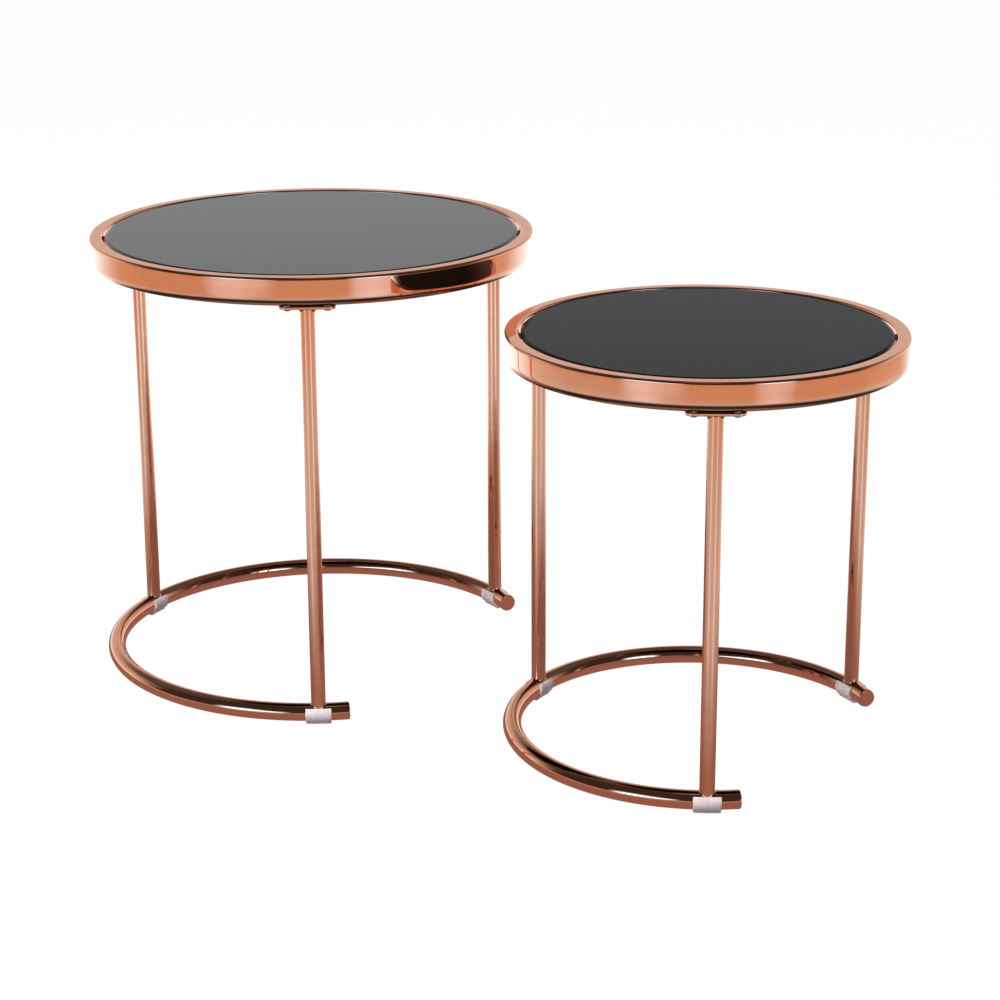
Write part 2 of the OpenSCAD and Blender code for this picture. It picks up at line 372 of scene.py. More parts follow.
def makeCopper(name, lineVector, finish, waveScale=16.0, lineAlong=5.0, lineAcross=1200.0, paintedShade=0.0):
    # lineVector(tree, place) gives the vector whose X runs along the polishing lines
    material, tree, shader, place = newMaterial(name)
    lines = useGroup(tree, polishLines, {
        "Vector": lineVector(tree, place), "Along": lineAlong, "Across": lineAcross})
    marks = useGroup(tree, handlingMarks, {
        "Vector": place, "Smudge Scale": finish["smudgeScale"], "Dust Share": finish["dustShare"]})
    wave = useGroup(tree, rolledUnevenness, {"Vector": place, "Scale": waveScale})
    tone = calc(tree, "ADD", calc(tree, "MULTIPLY", marks["Smudge"], finish["smudgeTone"]),
                calc(tree, "MULTIPLY", lines["Streak"], finish["streakTone"]))
    tint = mixColour(tree, tone, finish["light"], finish["deep"])
    tint = mixColour(tree, calc(tree, "MULTIPLY", marks["Dust"], finish["dustTone"]), tint, finish["dust"])
    rough = calc(tree, "MULTIPLY_ADD", marks["Smudge"], finish["smudged"] - finish["roughness"],
                 finish["roughness"])
    rough = calc(tree, "MULTIPLY_ADD", lines["Streak"], finish["streakRough"], rough)
    rough = calc(tree, "MULTIPLY_ADD", marks["Dust"], finish["dustRough"], rough)
    if paintedShade:
        # painted shade: the upper faces are darkened, standing in for the shadow under the ring
        paintedShadeMask = ease(tree, facingUp(tree), *finish["paintedShadeEdge"], 0.0, paintedShade)
        tint = mixColour(tree, paintedShadeMask, tint, finish["paintedShade"])
        rough = calc(tree, "MULTIPLY_ADD", paintedShadeMask, finish["paintedShadeRough"], rough)
    fine = put(tree, "ShaderNodeBump", {"Height": lines["Height"], "Distance": finish["lineDepth"]})
    bent = put(tree, "ShaderNodeBump", {
        "Height": wave["Height"], "Distance": finish["waveDepth"], "Normal": fine.outputs[0]})
    wireShader(tree, shader, tint, rough, bent.outputs[0])
    shader.inputs["Metallic"].default_value = 1.0
    shader.inputs["Specular Tint"].default_value = finish["edgeTint"]
    return material


def roundLines(table, radius):
    def lineVector(tree, place):
        values = {"Vector": place, "Centre": table["centre"], "Radius": radius}
        return useGroup(tree, roundTheAxis, values)["Vector"]
    return lineVector


def uprightLines(tree, place):
    parts = put(tree, "ShaderNodeSeparateXYZ", {0: place}).outputs
    return put(tree, "ShaderNodeCombineXYZ", {0: parts[2], 1: parts[0], 2: parts[1]}).outputs[0]


def flatLines(tree, place):
    return place


glassFinish = {
    "colour": colour(0.0045, 0.0045, 0.005),
    "dust": colour(0.30, 0.30, 0.30),
    "roughness": 0.02,
    "smudged": 0.06,
    "dustTone": 0.25,
    "dustRough": 0.3,
    "dustShare": 0.10,
    "dustScale": 700.0,
    "smudgeScale": 7.0,
    "waveScale": 5.0,
    "waveDepth": 0.0001,
    "shine": {"large": 1.32, "small": 1.085},  # refractive index; the small glass is the duller one
}


def makeBlackGlass(name, finish):
    material, tree, shader, place = newMaterial(f"{name}BlackGlass")
    marks = useGroup(tree, handlingMarks, {
        "Vector": place, "Smudge Scale": finish["smudgeScale"], "Dust Scale": finish["dustScale"],
        "Dust Share": finish["dustShare"]})
    wave = useGroup(tree, rolledUnevenness, {"Vector": place, "Scale": finish["waveScale"]})
    dusty = calc(tree, "MULTIPLY", marks["Dust"], finish["dustTone"])
    tint = mixColour(tree, dusty, finish["colour"], finish["dust"])
    rough = calc(tree, "MULTIPLY_ADD", marks["Smudge"], finish["smudged"] - finish["roughness"],
                 finish["roughness"])
    rough = calc(tree, "MULTIPLY_ADD", marks["Dust"], finish["dustRough"], rough)
    bump = put(tree, "ShaderNodeBump", {"Height": wave["Height"], "Distance": finish["waveDepth"]})
    wireShader(tree, shader, tint, rough, bump.outputs[0])
    shader.inputs["IOR"].default_value = finish["shine"][name]
    return material


steelFinish = {
    # bright colour, dull colour, roughness
    "screw": (colour(0.80, 0.80, 0.81), colour(0.62, 0.60, 0.58), 0.16),
    "nut": (colour(0.36, 0.35, 0.33), colour(0.26, 0.25, 0.21), 0.36),
}
turningMarks = {"Along": 300.0, "Across": 2600.0}


def makeSteel(name, finish):
    light, dull, roughness = finish
    material, tree, shader, place = newMaterial(name)
    marks = useGroup(tree, handlingMarks, {"Vector": place, "Smudge Scale": 160.0, "Dust Share": 0.05})
    lines = useGroup(tree, polishLines, {"Vector": place, **turningMarks})
    tint = mixColour(tree, calc(tree, "MULTIPLY", marks["Smudge"], 0.8), light, dull)
    rough = calc(tree, "MULTIPLY_ADD", marks["Smudge"], 0.16, roughness)
    bump = put(tree, "ShaderNodeBump", {"Height": lines["Height"], "Distance": 0.00002})
    wireShader(tree, shader, tint, rough, bump.outputs[0])
    shader.inputs["Metallic"].default_value = 1.0
    return material


glideFinish = {
    "clear": colour(0.74, 0.62, 0.58),
    "cloudy": colour(0.62, 0.51, 0.475),
    "scuff": colour(0.40, 0.36, 0.34),
    "scuffRise": 0.003,  # how far up from the floor it is scuffed
    "scuffTone": 0.7,
    "roughness": 0.26,
    "cloudRough": 0.2,
    "scuffRough": 0.25,
    "grain": 0.00006,
    "glow": 0.35,  # share of light that goes into the plastic, and how deep
    "glowDepth": 0.004,
    "shine": 1.51,
}
scratchScale = Vector((500.0, 2200.0, 500.0))


def makeGlidePlastic(finish):
    # cloudy moulded plastic, scuffed where it slides on the floor
    material, tree, shader, place = newMaterial("glidePlastic")
    cloud = noise(tree, place, 210.0, 3.0, 0.6)
    flow = noise(tree, place, 900.0)
    height = put(tree, "ShaderNodeSeparateXYZ", {0: place}).outputs[2]
    low = ease(tree, height, 0.0, finish["scuffRise"], 1.0, 0.0)
    scratch = noise(tree, vectorCalc(tree, "MULTIPLY", place, scratchScale), 1.0)
    scuffed = calc(tree, "MULTIPLY", low, ease(tree, scratch, 0.45, 0.65))
    tint = mixColour(tree, ease(tree, cloud, 0.35, 0.7), finish["clear"], finish["cloudy"])
    tint = mixColour(tree, calc(tree, "MULTIPLY", scuffed, finish["scuffTone"]), tint, finish["scuff"])
    rough = calc(tree, "MULTIPLY_ADD", scuffed, finish["scuffRough"], finish["roughness"])
    rough = calc(tree, "MULTIPLY_ADD", cloud, finish["cloudRough"], rough)
    bump = put(tree, "ShaderNodeBump", {"Height": flow, "Distance": finish["grain"]})
    wireShader(tree, shader, tint, rough, bump.outputs[0])
    shader.inputs["Subsurface Weight"].default_value = finish["glow"]
    shader.inputs["Subsurface Scale"].default_value = finish["glowDepth"]
    shader.inputs["IOR"].default_value = finish["shine"]
    return material


rubberFinish = {
    "black": colour(0.018, 0.018, 0.018),
    "bloom": colour(0.05, 0.05, 0.052),
    "roughness": 0.6,
    "bloomRough": 0.2,
    "grain": 0.00008,
}


def makeRubber(finish):
    material, tree, shader, place = newMaterial("padRubber")
    grain = noise(tree, place, 1400.0, 3.0, 0.6)
    bloom = noise(tree, place, 180.0, 3.0, 0.6)
    tint = mixColour(tree, ease(tree, bloom, 0.45, 0.75), finish["black"], finish["bloom"])
    bump = put(tree, "ShaderNodeBump", {"Height": grain, "Distance": finish["grain"]})
    rough = calc(tree, "MULTIPLY_ADD", bloom, finish["bloomRough"], finish["roughness"])
    wireShader(tree, shader, tint, rough, bump.outputs[0])
    return material


screwSteel = makeSteel("screwSteel", steelFinish["screw"])
nutSteel = makeSteel("nutSteel", steelFinish["nut"])
glidePlastic = makeGlidePlastic(glideFinish)
padRubber = makeRubber(rubberFinish)
legCopper = makeCopper("legCopper", uprightLines, copperFinish, waveScale=24.0)
# plates and tabs get painted shade on their upward faces
plateCopper = makeCopper("plateCopper", flatLines, copperFinish, waveScale=40.0, lineAlong=60.0,
                         lineAcross=900.0, paintedShade=0.95)
print("materials built")


def turnOutwards(mesh, flatOver=4):
    shell = bmesh.new()
    shell.from_mesh(mesh)
    bmesh.ops.recalc_face_normals(shell, faces=shell.faces)
    for face in shell.faces:
        face.smooth = len(face.verts) <= flatOver
    shell.to_mesh(mesh)
    shell.free()


def newPiece(name, points, faces, material, flatOver=4):
    # faces with more than flatOver corners stay flat, the others are shaded smooth
    mesh = bpy.data.meshes.new(name)
    mesh.from_pydata([tuple(p) for p in points], [], faces)
    turnOutwards(mesh, flatOver)
    mesh.materials.append(material)
    piece = bpy.data.objects.new(name, mesh)
    scene.collection.objects.link(piece)
    return piece


def arcPoints(centre, radius, start, end, steps):
    # points of an arc in the section plane; angles in degrees
    made = []
    for step in range(steps + 1):
        angle = math.radians(start + (end - start) * step / steps)
        made.append((centre[0] + radius * math.cos(angle), centre[1] + radius * math.sin(angle)))
    return made


def lathe(section, steps, closed=False):
    # section: (radius, height) points with the outside on the right of the way they run
    points, rings = [], []
    for radius, height in section:
        if radius < 1e-9:
            rings.append([len(points)] * steps)
            points.append(Vector((0, 0, height)))
            continue
        rings.append(list(range(len(points), len(points) + steps)))
        for step in range(steps):
            points.append(directionAt(2 * math.pi * step / steps) * radius + upward * height)
    faces = []
    pairs = list(zip(rings, rings[1:] + rings[:1])) if closed else list(zip(rings, rings[1:]))
    for first, second in pairs:
        for step in range(steps):
            after = (step + 1) % steps
            corners = [first[step], first[after], second[after], second[step]]
            face = list(dict.fromkeys(corners))
            if len(face) > 2:
                faces.append(face)
    return points, faces


def placed(points, matrix):
    return [matrix @ Vector(p) for p in points]


def addRow(points, row):
    # adds a row of points and returns their numbers
    first = len(points)
    points.extend(row)
    return list(range(first, len(points)))


def joinRows(rows, capped=True):
    # faces between closed rows of points, and over the first and the last row
    faces = []
    for below, above in zip(rows, rows[1:]):
        for step in range(len(below)):
            after = (step + 1) % len(below)
            faces.append([below[step], below[after], above[after], above[step]])
    if capped:
        faces += [rows[0][::-1], rows[-1]]
    return faces


def atLeg(table, index):
    angle = table["legAngles"][index]
    place = table["centre"] + directionAt(angle) * table["legCircle"]
    return Matrix.Translation(place) @ Matrix.Rotation(angle, 4, "Z")


def finishPiece(piece, body, slot, *nodes):
    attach(piece, body)
    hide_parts(*nodes)


ringShape = {
    "topCorner": (0.0028, 0.0028),  # how far it reaches along the top and down the wall
    "lowCorner": (0.0035, 0.0095),  # the outer lower corner is the softest
    "innerCorner": (0.0020, 0.0020),
    "sideCrown": 0.02,  # how far the outer wall is pulled in at its top and bottom, as a share
    "topCrown": 0.006,
    "guard": 0.0004,
    "cornerSteps": 12,
    "longest": 0.0015,  # longest stretch of the section's outline
    "stepsRound": 288,
}


def ringSection(width, height, shape):
    # closed section, centred on the tube's middle, run anticlockwise
    corners = (
        (1, -1, shape["lowCorner"], -90),
        (1, 1, shape["topCorner"], 0),
        (-1, 1, shape["innerCorner"], 90),
        (-1, -1, shape["innerCorner"], 180),
    )
    points = []
    for sideX, sideZ, reach, start in corners:
        middle = (sideX * (width / 2 - reach[0]), sideZ * (height / 2 - reach[1]))
        arc = [(middle[0] + x * reach[0], middle[1] + z * reach[1])
               for x, z in arcPoints((0, 0), 1, start, start + 90, shape["cornerSteps"])]
        first, last = math.radians(start), math.radians(start + 90)
        # a guard point on each side of the corner keeps the walls' shading flat
        points.append((arc[0][0] + math.sin(first) * shape["guard"],
                       arc[0][1] - math.cos(first) * shape["guard"]))
        points.extend(arc)
        points.append((arc[-1][0] - math.sin(last) * shape["guard"],
                       arc[-1][1] + math.cos(last) * shape["guard"]))
    return points


def splitLong(points, longest):
    # adds points along the long stretches, so that a crown can bend them
    made = []
    for here, there in zip(points, points[1:] + points[:1]):
        length = math.dist(here, there)
        pieces = max(1, math.ceil(length / longest))
        for step in range(pieces):
            share = step / pieces
            made.append((here[0] + (there[0] - here[0]) * share, here[1] + (there[1] - here[1]) * share))
    return made


def crowned(point, width, height, shape):
    # rolling leaves the outer wall and the top slightly rounded; the rest stays flat
    x, z = point
    shareX, shareZ = 2 * x / width, 2 * z / height
    if x > 0:
        x *= 1 - shape["sideCrown"] * shareZ ** 2 * shareX
    if z > 0:
        z *= 1 - shape["topCrown"] * shareX ** 2 * shareZ
    return x, z


def makeRing(table):
    name = table["name"]
    width, height = table["ringRadius"] - table["ringInner"], table["ringTop"] - table["ringBottom"]
    section = splitLong(ringSection(width, height, ringShape), ringShape["longest"])
    middleR, middleZ = table["ringRadius"] - width / 2, table["ringTop"] - height / 2
    section = [crowned(point, width, height, ringShape) for point in section]
    section = [(middleR + x, middleZ + z) for x, z in section]
    points, faces = lathe(section, ringShape["stepsRound"], closed=True)
    material = makeCopper(f"{name}RingCopper", roundLines(table, table["ringRadius"]), copperFinish,
                          waveScale=14.0, lineAlong=4.0, lineAcross=1500.0)
    ring = newPiece(f"{name}TopRing", placed(points, Matrix.Translation(table["centre"])), faces, material)
    finishPiece(ring, f"{name}_frame", "ring_copper", f"{name}_top_ring")


for table in tables:
    makeRing(table)
print("rings rolled")

glassShape = {
    "bevelWidth": 0.003,
    "bevelHeight": 0.001,
    "arris": 0.0005,
    "softness": 0.00015,
    "stepsRound": 288,
}


def softened(points, radius, steps=3, guard=2.2):
    # rounds each inner corner of an open outline; guard places a point beside it, in radii
    made = [points[0]]
    for before, here, after in zip(points, points[1:], points[2:]):
        here, before, after = Vector(here), Vector(before), Vector(after)
        back, ahead = (before - here).normalized(), (after - here).normalized()
        made += [tuple(here + back * radius * guard), tuple(here + back * radius)]
        for step in range(1, steps):
            part = step / steps
            into, outOf = (here + back * radius).lerp(here, part), here.lerp(here + ahead * radius, part)
            made.append(tuple(into.lerp(outOf, part)))
        made += [tuple(here + ahead * radius), tuple(here + ahead * radius * guard)]
    made.append(points[-1])
    return made


def makeGlass(table):
    name, radius = table["name"], table["glassRadius"]
    low, high = table["glassBottom"], table["glassTop"]
    outline = [
        (0, low),
        (radius - glassShape["arris"], low),
        (radius, low + glassShape["arris"]),
        (radius, high - glassShape["bevelHeight"]),
        (radius - glassShape["bevelWidth"], high),
        (0, high),
    ]
    points, faces = lathe(softened(outline, glassShape["softness"]), glassShape["stepsRound"])
    glass = newPiece(f"{name}GlassTop", placed(points, Matrix.Translation(table["centre"])), faces,
                     makeBlackGlass(name, glassFinish))
    finishPiece(glass, f"{name}_glass", "black_glass", f"{name}_glass_top")


for table in tables:
    makeGlass(table)
print("glass cut")


def makeBentTubeTree():
    # a round tube bent to an open arc about a centre
    tree, given, out = makeGroup(
        "GeometryNodeTree", "bentTube",
        [("Centre", "NodeSocketVector", None), ("Bend Radius", "NodeSocketFloat", 0.24),
         ("Tube Radius", "NodeSocketFloat", 0.01), ("Start Angle", "NodeSocketFloat", 0.0),
         ("Sweep Angle", "NodeSocketFloat", 4.0), ("Steps Along", "NodeSocketInt", 220),
         ("Steps Around", "NodeSocketInt", 48), ("Material", "NodeSocketMaterial", None)],
        [("Geometry", "NodeSocketGeometry")],
    )
    arc = put(tree, "GeometryNodeCurveArc", {
        "Resolution": given["Steps Along"], "Radius": given["Bend Radius"],
        "Start Angle": given["Start Angle"], "Sweep Angle": given["Sweep Angle"]}, mode="RADIUS")
    profile = put(tree, "GeometryNodeCurvePrimitiveCircle", {
        "Resolution": given["Steps Around"], "Radius": given["Tube Radius"]}, mode="RADIUS")
    upright = put(tree, "GeometryNodeSetCurveNormal", {"Curve": arc.outputs["Curve"]}, mode="Z_UP")
    swept = put(tree, "GeometryNodeCurveToMesh", {
        "Curve": upright.outputs[0], "Profile Curve": profile.outputs["Curve"], "Fill Caps": True})
    moved = put(tree, "GeometryNodeTransform", {
        "Geometry": swept.outputs[0], "Translation": given["Centre"]})
    smooth = put(tree, "GeometryNodeSetShadeSmooth", {"Geometry": moved.outputs[0]})
    real = put(tree, "GeometryNodeRealizeInstances", {"Geometry": smooth.outputs[0]})
    done = put(tree, "GeometryNodeSetMaterial", {
        "Geometry": real.outputs[0], "Material": given["Material"]})
    tree.links.new(done.outputs[0], out.inputs[0])
    return tree


def makeSetRoundTree():
    # rows of one item, repeated at even angles round a centre
    tree, given, out = makeGroup(
        "GeometryNodeTree", "setRound",
        [("Item", "NodeSocketObject", None), ("Centre", "NodeSocketVector", None),
         ("Circle Radius", "NodeSocketFloat", 0.2), ("Count", "NodeSocketInt", 3),
         ("First Angle", "NodeSocketFloat", 0.0), ("Row Count", "NodeSocketInt", 1),
         ("Row Spacing", "NodeSocketFloat", 0.0), ("Material", "NodeSocketMaterial", None)],
        [("Geometry", "NodeSocketGeometry")],
    )
    item = put(tree, "GeometryNodeObjectInfo", {"Object": given["Item"], "As Instance": True})
    spaces = calc(tree, "SUBTRACT", given["Row Count"], 1)
    start = calc(tree, "MULTIPLY", calc(tree, "MULTIPLY", spaces, given["Row Spacing"]), -0.5)
    row = put(tree, "GeometryNodeMeshLine", {
        "Count": given["Row Count"],
        "Start Location": put(tree, "ShaderNodeCombineXYZ", {1: start}).outputs[0],
        "Offset": put(tree, "ShaderNodeCombineXYZ", {1: given["Row Spacing"]}).outputs[0]}, mode="OFFSET")
    pair = put(tree, "GeometryNodeInstanceOnPoints", {
        "Points": row.outputs[0], "Instance": item.outputs["Geometry"]})
    places = put(tree, "GeometryNodeMeshLine", {"Count": given["Count"]}, mode="OFFSET")
    order = put(tree, "GeometryNodeInputIndex").outputs[0]
    turn = calc(tree, "DIVIDE", 2 * math.pi, given["Count"])
    angle = calc(tree, "MULTIPLY_ADD", order, turn, given["First Angle"])
    spot = put(tree, "ShaderNodeCombineXYZ", {
        0: calc(tree, "MULTIPLY", calc(tree, "COSINE", angle), given["Circle Radius"]),
        1: calc(tree, "MULTIPLY", calc(tree, "SINE", angle), given["Circle Radius"])}).outputs[0]
    ringed = put(tree, "GeometryNodeSetPosition", {
        "Geometry": places.outputs[0], "Position": vectorCalc(tree, "ADD", spot, given["Centre"])})
    facing = put(tree, "ShaderNodeCombineXYZ", {2: angle}).outputs[0]
    turned = put(tree, "FunctionNodeEulerToRotation", {0: facing}).outputs[0]
    around = put(tree, "GeometryNodeInstanceOnPoints", {
        "Points": ringed.outputs[0], "Instance": pair.outputs[0], "Rotation": turned})
    real = put(tree, "GeometryNodeRealizeInstances", {"Geometry": around.outputs[0]})
    done = put(tree, "GeometryNodeSetMaterial", {
        "Geometry": real.outputs[0], "Material": given["Material"]})
    tree.links.new(done.outputs[0], out.inputs[0])
    return tree


def growPiece(name, tree, values):
    # runs a tree on an empty mesh and keeps the result as a plain mesh
    piece = bpy.data.objects.new(name, bpy.data.meshes.new(name))
    scene.collection.objects.link(piece)
    modifier = piece.modifiers.new(tree.name, "NODES")
    modifier.node_group = tree
    for socket in tree.interface.items_tree:
        if socket.item_type == "SOCKET" and socket.in_out == "INPUT" and socket.name in values:
            modifier[socket.identifier] = values[socket.name]
    bpy.context.view_layer.update()
    grown = piece.evaluated_get(bpy.context.evaluated_depsgraph_get())
    mesh = bpy.data.meshes.new_from_object(grown, preserve_all_data_layers=True,
                                           depsgraph=bpy.context.evaluated_depsgraph_get())
    piece.modifiers.remove(modifier)
    piece.data = mesh
    mesh.name = name
    turnOutwards(mesh)
    return piece


bentTube = makeBentTubeTree()
setRound = makeSetRoundTree()

baseShape = {"stepsAlong": 260, "stepsAround": 56}
capShape = {
    "round": 0.0008,
    "dish": 0.0002,  # how far its middle is sunk
    "guard": 0.0004,  # width of the flat band inside the rounding
    "edgeSteps": 6,
    "stepsRound": 64,
}


def makeBase(table):
    name = table["name"]
    material = makeCopper(f"{name}BaseCopper", roundLines(table, table["legCircle"]), copperFinish,
                          waveScale=20.0, lineAlong=5.0, lineAcross=1400.0)
    tube = growPiece(f"{name}BaseTube", bentTube, {
        "Centre": table["centre"] + upward * table["baseHeight"],
        "Bend Radius": table["legCircle"],
        "Tube Radius": table["baseRadius"],
        "Start Angle": table["turn"] + table["endAngle"],
        "Sweep Angle": 2 * math.pi - 2 * table["endAngle"],
        "Steps Along": baseShape["stepsAlong"],
        "Steps Around": baseShape["stepsAround"],
        "Material": material,
    })
    finishPiece(tube, f"{name}_frame", "tube_copper", f"{name}_base_tube")
    for side, end in zip((-1, 1), endNames):
        makeCap(table, side, end, material)


def makeCap(table, side, end, material):
    # a flat disc with a rounded edge, pressed into the tube's end
    radius, thickness, soft = table["capRadius"], table["capThickness"], capShape["round"]
    dish = capShape["dish"]
    section = [(0, -thickness), (radius * 0.8, -thickness), (radius, -thickness), (radius, 0.0002)]
    section += arcPoints((radius - soft, thickness - soft), soft, 0, 90, capShape["edgeSteps"])
    section += [(radius - soft - capShape["guard"], thickness), (radius / 2, thickness - dish / 2),
                (0, thickness - dish)]
    points, faces = lathe(section, capShape["stepsRound"])
    angle = table["turn"] + side * table["endAngle"]
    mouth = table["centre"] + directionAt(angle) * table["legCircle"] + upward * table["baseHeight"]
    outward = directionAt(angle - side * math.pi / 2)
    turned = outward.to_track_quat("Z", "Y").to_matrix().to_4x4()
    cap = newPiece(f"{table['name']}EndCap_{end}", placed(points, Matrix.Translation(mouth) @ turned),
                   faces, material)
    finishPiece(cap, f"{table['name']}_frame", "tube_copper", f"{table['name']}_end_cap_{end}")


for table in tables:
    makeBase(table)
print("bases bent")

legShape = {
    "fillet": 0.0014,  # reach of the weld round the foot
    "filletSteps": 6,
    "stepsRound": 64,
    "rows": 24,
    "topGap": 0.02,  # the first row lies this close under the top, as a share of a row
    "footInside": 0.9,  # share of the radius that the hidden end inside the base tube has
}


def makeLeg(table, index):
    # a tube whose foot follows the base tube, with a small weld fillet round it
    name, radius, fillet = table["name"], table["legRadius"], legShape["fillet"]
    top, steps, baseRadius = table["plateBottom"], legShape["stepsRound"], table["baseRadius"]
    turns = [2 * math.pi * step / steps for step in range(steps)]
    points, rows = [], []

    def baseTop(distance, angle):
        return table["baseHeight"] + math.sqrt(baseRadius ** 2 - (distance * math.cos(angle)) ** 2)

    def addRing(distance, heightAt):
        rows.append(addRow(points, [directionAt(a) * distance + upward * heightAt(a) for a in turns]))

    addRing(radius, lambda a: top)
    for row in range(legShape["rows"]):
        share = 1 - (row + legShape["topGap"]) / legShape["rows"]
        addRing(radius, lambda a: (baseTop(radius, a) + fillet) * (1 - share) + top * share)
    for step in range(legShape["filletSteps"] + 1):
        share = step / legShape["filletSteps"]
        rise = fillet * (1 - math.sqrt(1 - (1 - share) ** 2))
        distance = radius + fillet * share
        addRing(distance, lambda a: baseTop(distance, a) + rise)
    addRing(radius * legShape["footInside"], lambda a: table["baseHeight"])
    faces = joinRows(rows)
    leg = newPiece(f"{name}Leg_{legNames[index]}", placed(points, atLeg(table, index)), faces, legCopper)
    finishPiece(leg, f"{name}_frame", "tube_copper", f"{name}_leg_{legNames[index]}")


for table in tables:
    for index in range(len(legNames)):
        makeLeg(table, index)
print("legs cut")

plateShape = {
    "edge": 0.0004,
    "endSteps": 24,
    "coveSteps": 10,
    "stepsRound": 48,
    "coveSunk": 0.0006,  # how far the weld reaches into the leg
    "coveRaised": 0.0003,  # and into the plate
}


def softLayers(edge, low, high):
    # (inset, height) of each layer of a flat part with rounded edges; its walls stay flat
    bends = ((0, 0), (0.7, 0.3), (1, 1), (1, 1.4))
    below = [(edge * (1 - share), low + edge * rise) for share, rise in bends]
    return below + [(inset, low + high - height) for inset, height in reversed(below)]


def makePlate(table, index):
    # a flat bar with round ends, and the cove of weld that runs from it down the leg
    name = table["name"]
    low, high = table["plateBottom"], table["plateTop"]
    half, run = table["plateWidth"] / 2, (table["plateLength"] - table["plateWidth"]) / 2
    outline = []
    for side, start in ((1, 0), (-1, 180)):
        outline += arcPoints((0, side * run), half, start, start + 180, plateShape["endSteps"])
    points, rows = [], []
    for inset, height in softLayers(plateShape["edge"], low, high):
        share, row = 1 - inset / half, []
        for x, y in outline:
            middleY = max(-run, min(run, y))
            row.append(Vector((x * share, middleY + (y - middleY) * share, height)))
        rows.append(addRow(points, row))
    faces = joinRows(rows) + addCove(table, points)
    plate = newPiece(f"{name}Plate_{legNames[index]}", placed(points, atLeg(table, index)), faces,
                     plateCopper)
    finishPiece(plate, f"{name}_frame", "ring_copper", f"{name}_plate_{legNames[index]}")


def addCove(table, points):
    # a ring of weld round the leg's top, kept within the plate's width
    steps, coveSteps = plateShape["stepsRound"], plateShape["coveSteps"]
    legRadius, reach, limit = table["legRadius"], table["cove"], table["plateWidth"] / 2
    turns = [directionAt(2 * math.pi * turn / steps) for turn in range(steps)]
    rows = []
    for step in range(coveSteps + 1):
        bend = math.radians(90 * step / coveSteps)
        distance = legRadius + reach * (1 - math.cos(bend))
        height = table["plateBottom"] - reach * (1 - math.sin(bend))
        rows.append(addRow(points, [
            Vector((spot.x * min(limit, distance), spot.y * distance, height)) for spot in turns]))
    for height in (plateShape["coveRaised"], -reach):
        rows.append(addRow(points, [
            spot * (legRadius - plateShape["coveSunk"]) + upward * (table["plateBottom"] + height)
            for spot in turns]))
    return joinRows(rows + rows[:1], capped=False)


for table in tables:
    for index in range(len(legNames)):
        makePlate(table, index)
print("plates welded")

screwShape = {
    "socketFlats": 0.004,
    "socketDepth": 0.0018,
    "socketEdge": (0.0002, 0.00025),  # how far its edge is eased outwards and down
    "rimShare": 0.25,  # share of the head's height that is straight
    "rimEdge": 0.00015,
    "domeRings": (0.15, 0.3, 0.45, 0.6, 0.75, 0.88, 0.96, 1.0),
    "shankRadius": 0.0029,
    "tipEdge": 0.0008,
    "stepsRound": 48,
}


def makeScrewItem(table):
    # button head down, with a hexagon socket; the seat is at the plate's underside
    steps, radius, shank = screwShape["stepsRound"], table["headRadius"], screwShape["shankRadius"]
    seat, tip, low = table["plateBottom"], table["screwTip"], table["headBottom"]
    dome = (seat - low) * (1 - screwShape["rimShare"])
    domeRadius = (radius ** 2 + dome ** 2) / (2 * dome)
    turns = [2 * math.pi * step / steps for step in range(steps)]
    points, rows = [], []

    def hexagon(angle):
        return screwShape["socketFlats"] / 2 / math.cos((angle + math.pi / 6) % (math.pi / 3) - math.pi / 6)

    def domeAt(distance):
        return low + domeRadius - math.sqrt(domeRadius ** 2 - distance ** 2)

    def addRing(distances, heights):
        spots = zip(turns, distances, heights)
        rows.append(addRow(points, [directionAt(a) * d + upward * h for a, d, h in spots]))

    outwards, down = screwShape["socketEdge"]
    wall = [hexagon(a) for a in turns]
    eased = [w + outwards for w in wall]
    addRing(wall, [low + screwShape["socketDepth"]] * steps)
    addRing(wall, [domeAt(w) + down for w in wall])
    addRing(eased, [domeAt(w) for w in eased])
    widest = max(eased)
    for share in screwShape["domeRings"]:
        # the hexagon turns round over the first half of the way out
        level = widest + (radius - widest) * share
        blend = [w + (radius - w) * share for w in eased]
        distances = [b + (level - b) * min(1, share * 2) for b in blend]
        addRing(distances, [domeAt(d) for d in distances])
    rim, end = screwShape["rimEdge"], screwShape["tipEdge"]
    profile = ((radius, seat - rim), (radius - rim, seat), (shank, seat), (shank, tip - end),
               (shank - end, tip))
    for distance, height in profile:
        addRing([distance] * steps, [height] * steps)
    return newPiece("screwItem", points, joinRows(rows), screwSteel)


def makeScrews(table):
    item = makeScrewItem(table)
    screws = growPiece(f"{table['name']}PlateScrews", setRound, {
        "Item": item,
        "Centre": table["centre"],
        "Circle Radius": table["legCircle"],
        "Count": len(legNames),
        "First Angle": table["legAngles"][0],
        "Row Count": 2,
        "Row Spacing": table["screwSpacing"],
        "Material": screwSteel,
    })
    bpy.data.objects.remove(item)
    finishPiece(screws, f"{table['name']}_frame", "screw_steel", f"{table['name']}_plate_screws")


for table in tables:
    makeScrews(table)
print("screws set")

tabShape = {
    "edge": 0.0004,
    "overlap": 0.0006,  # how far a tab reaches into the ring's wall
    "endSteps": 24,
    "padEdge": 0.0003,
    "padSteps": 40,
}


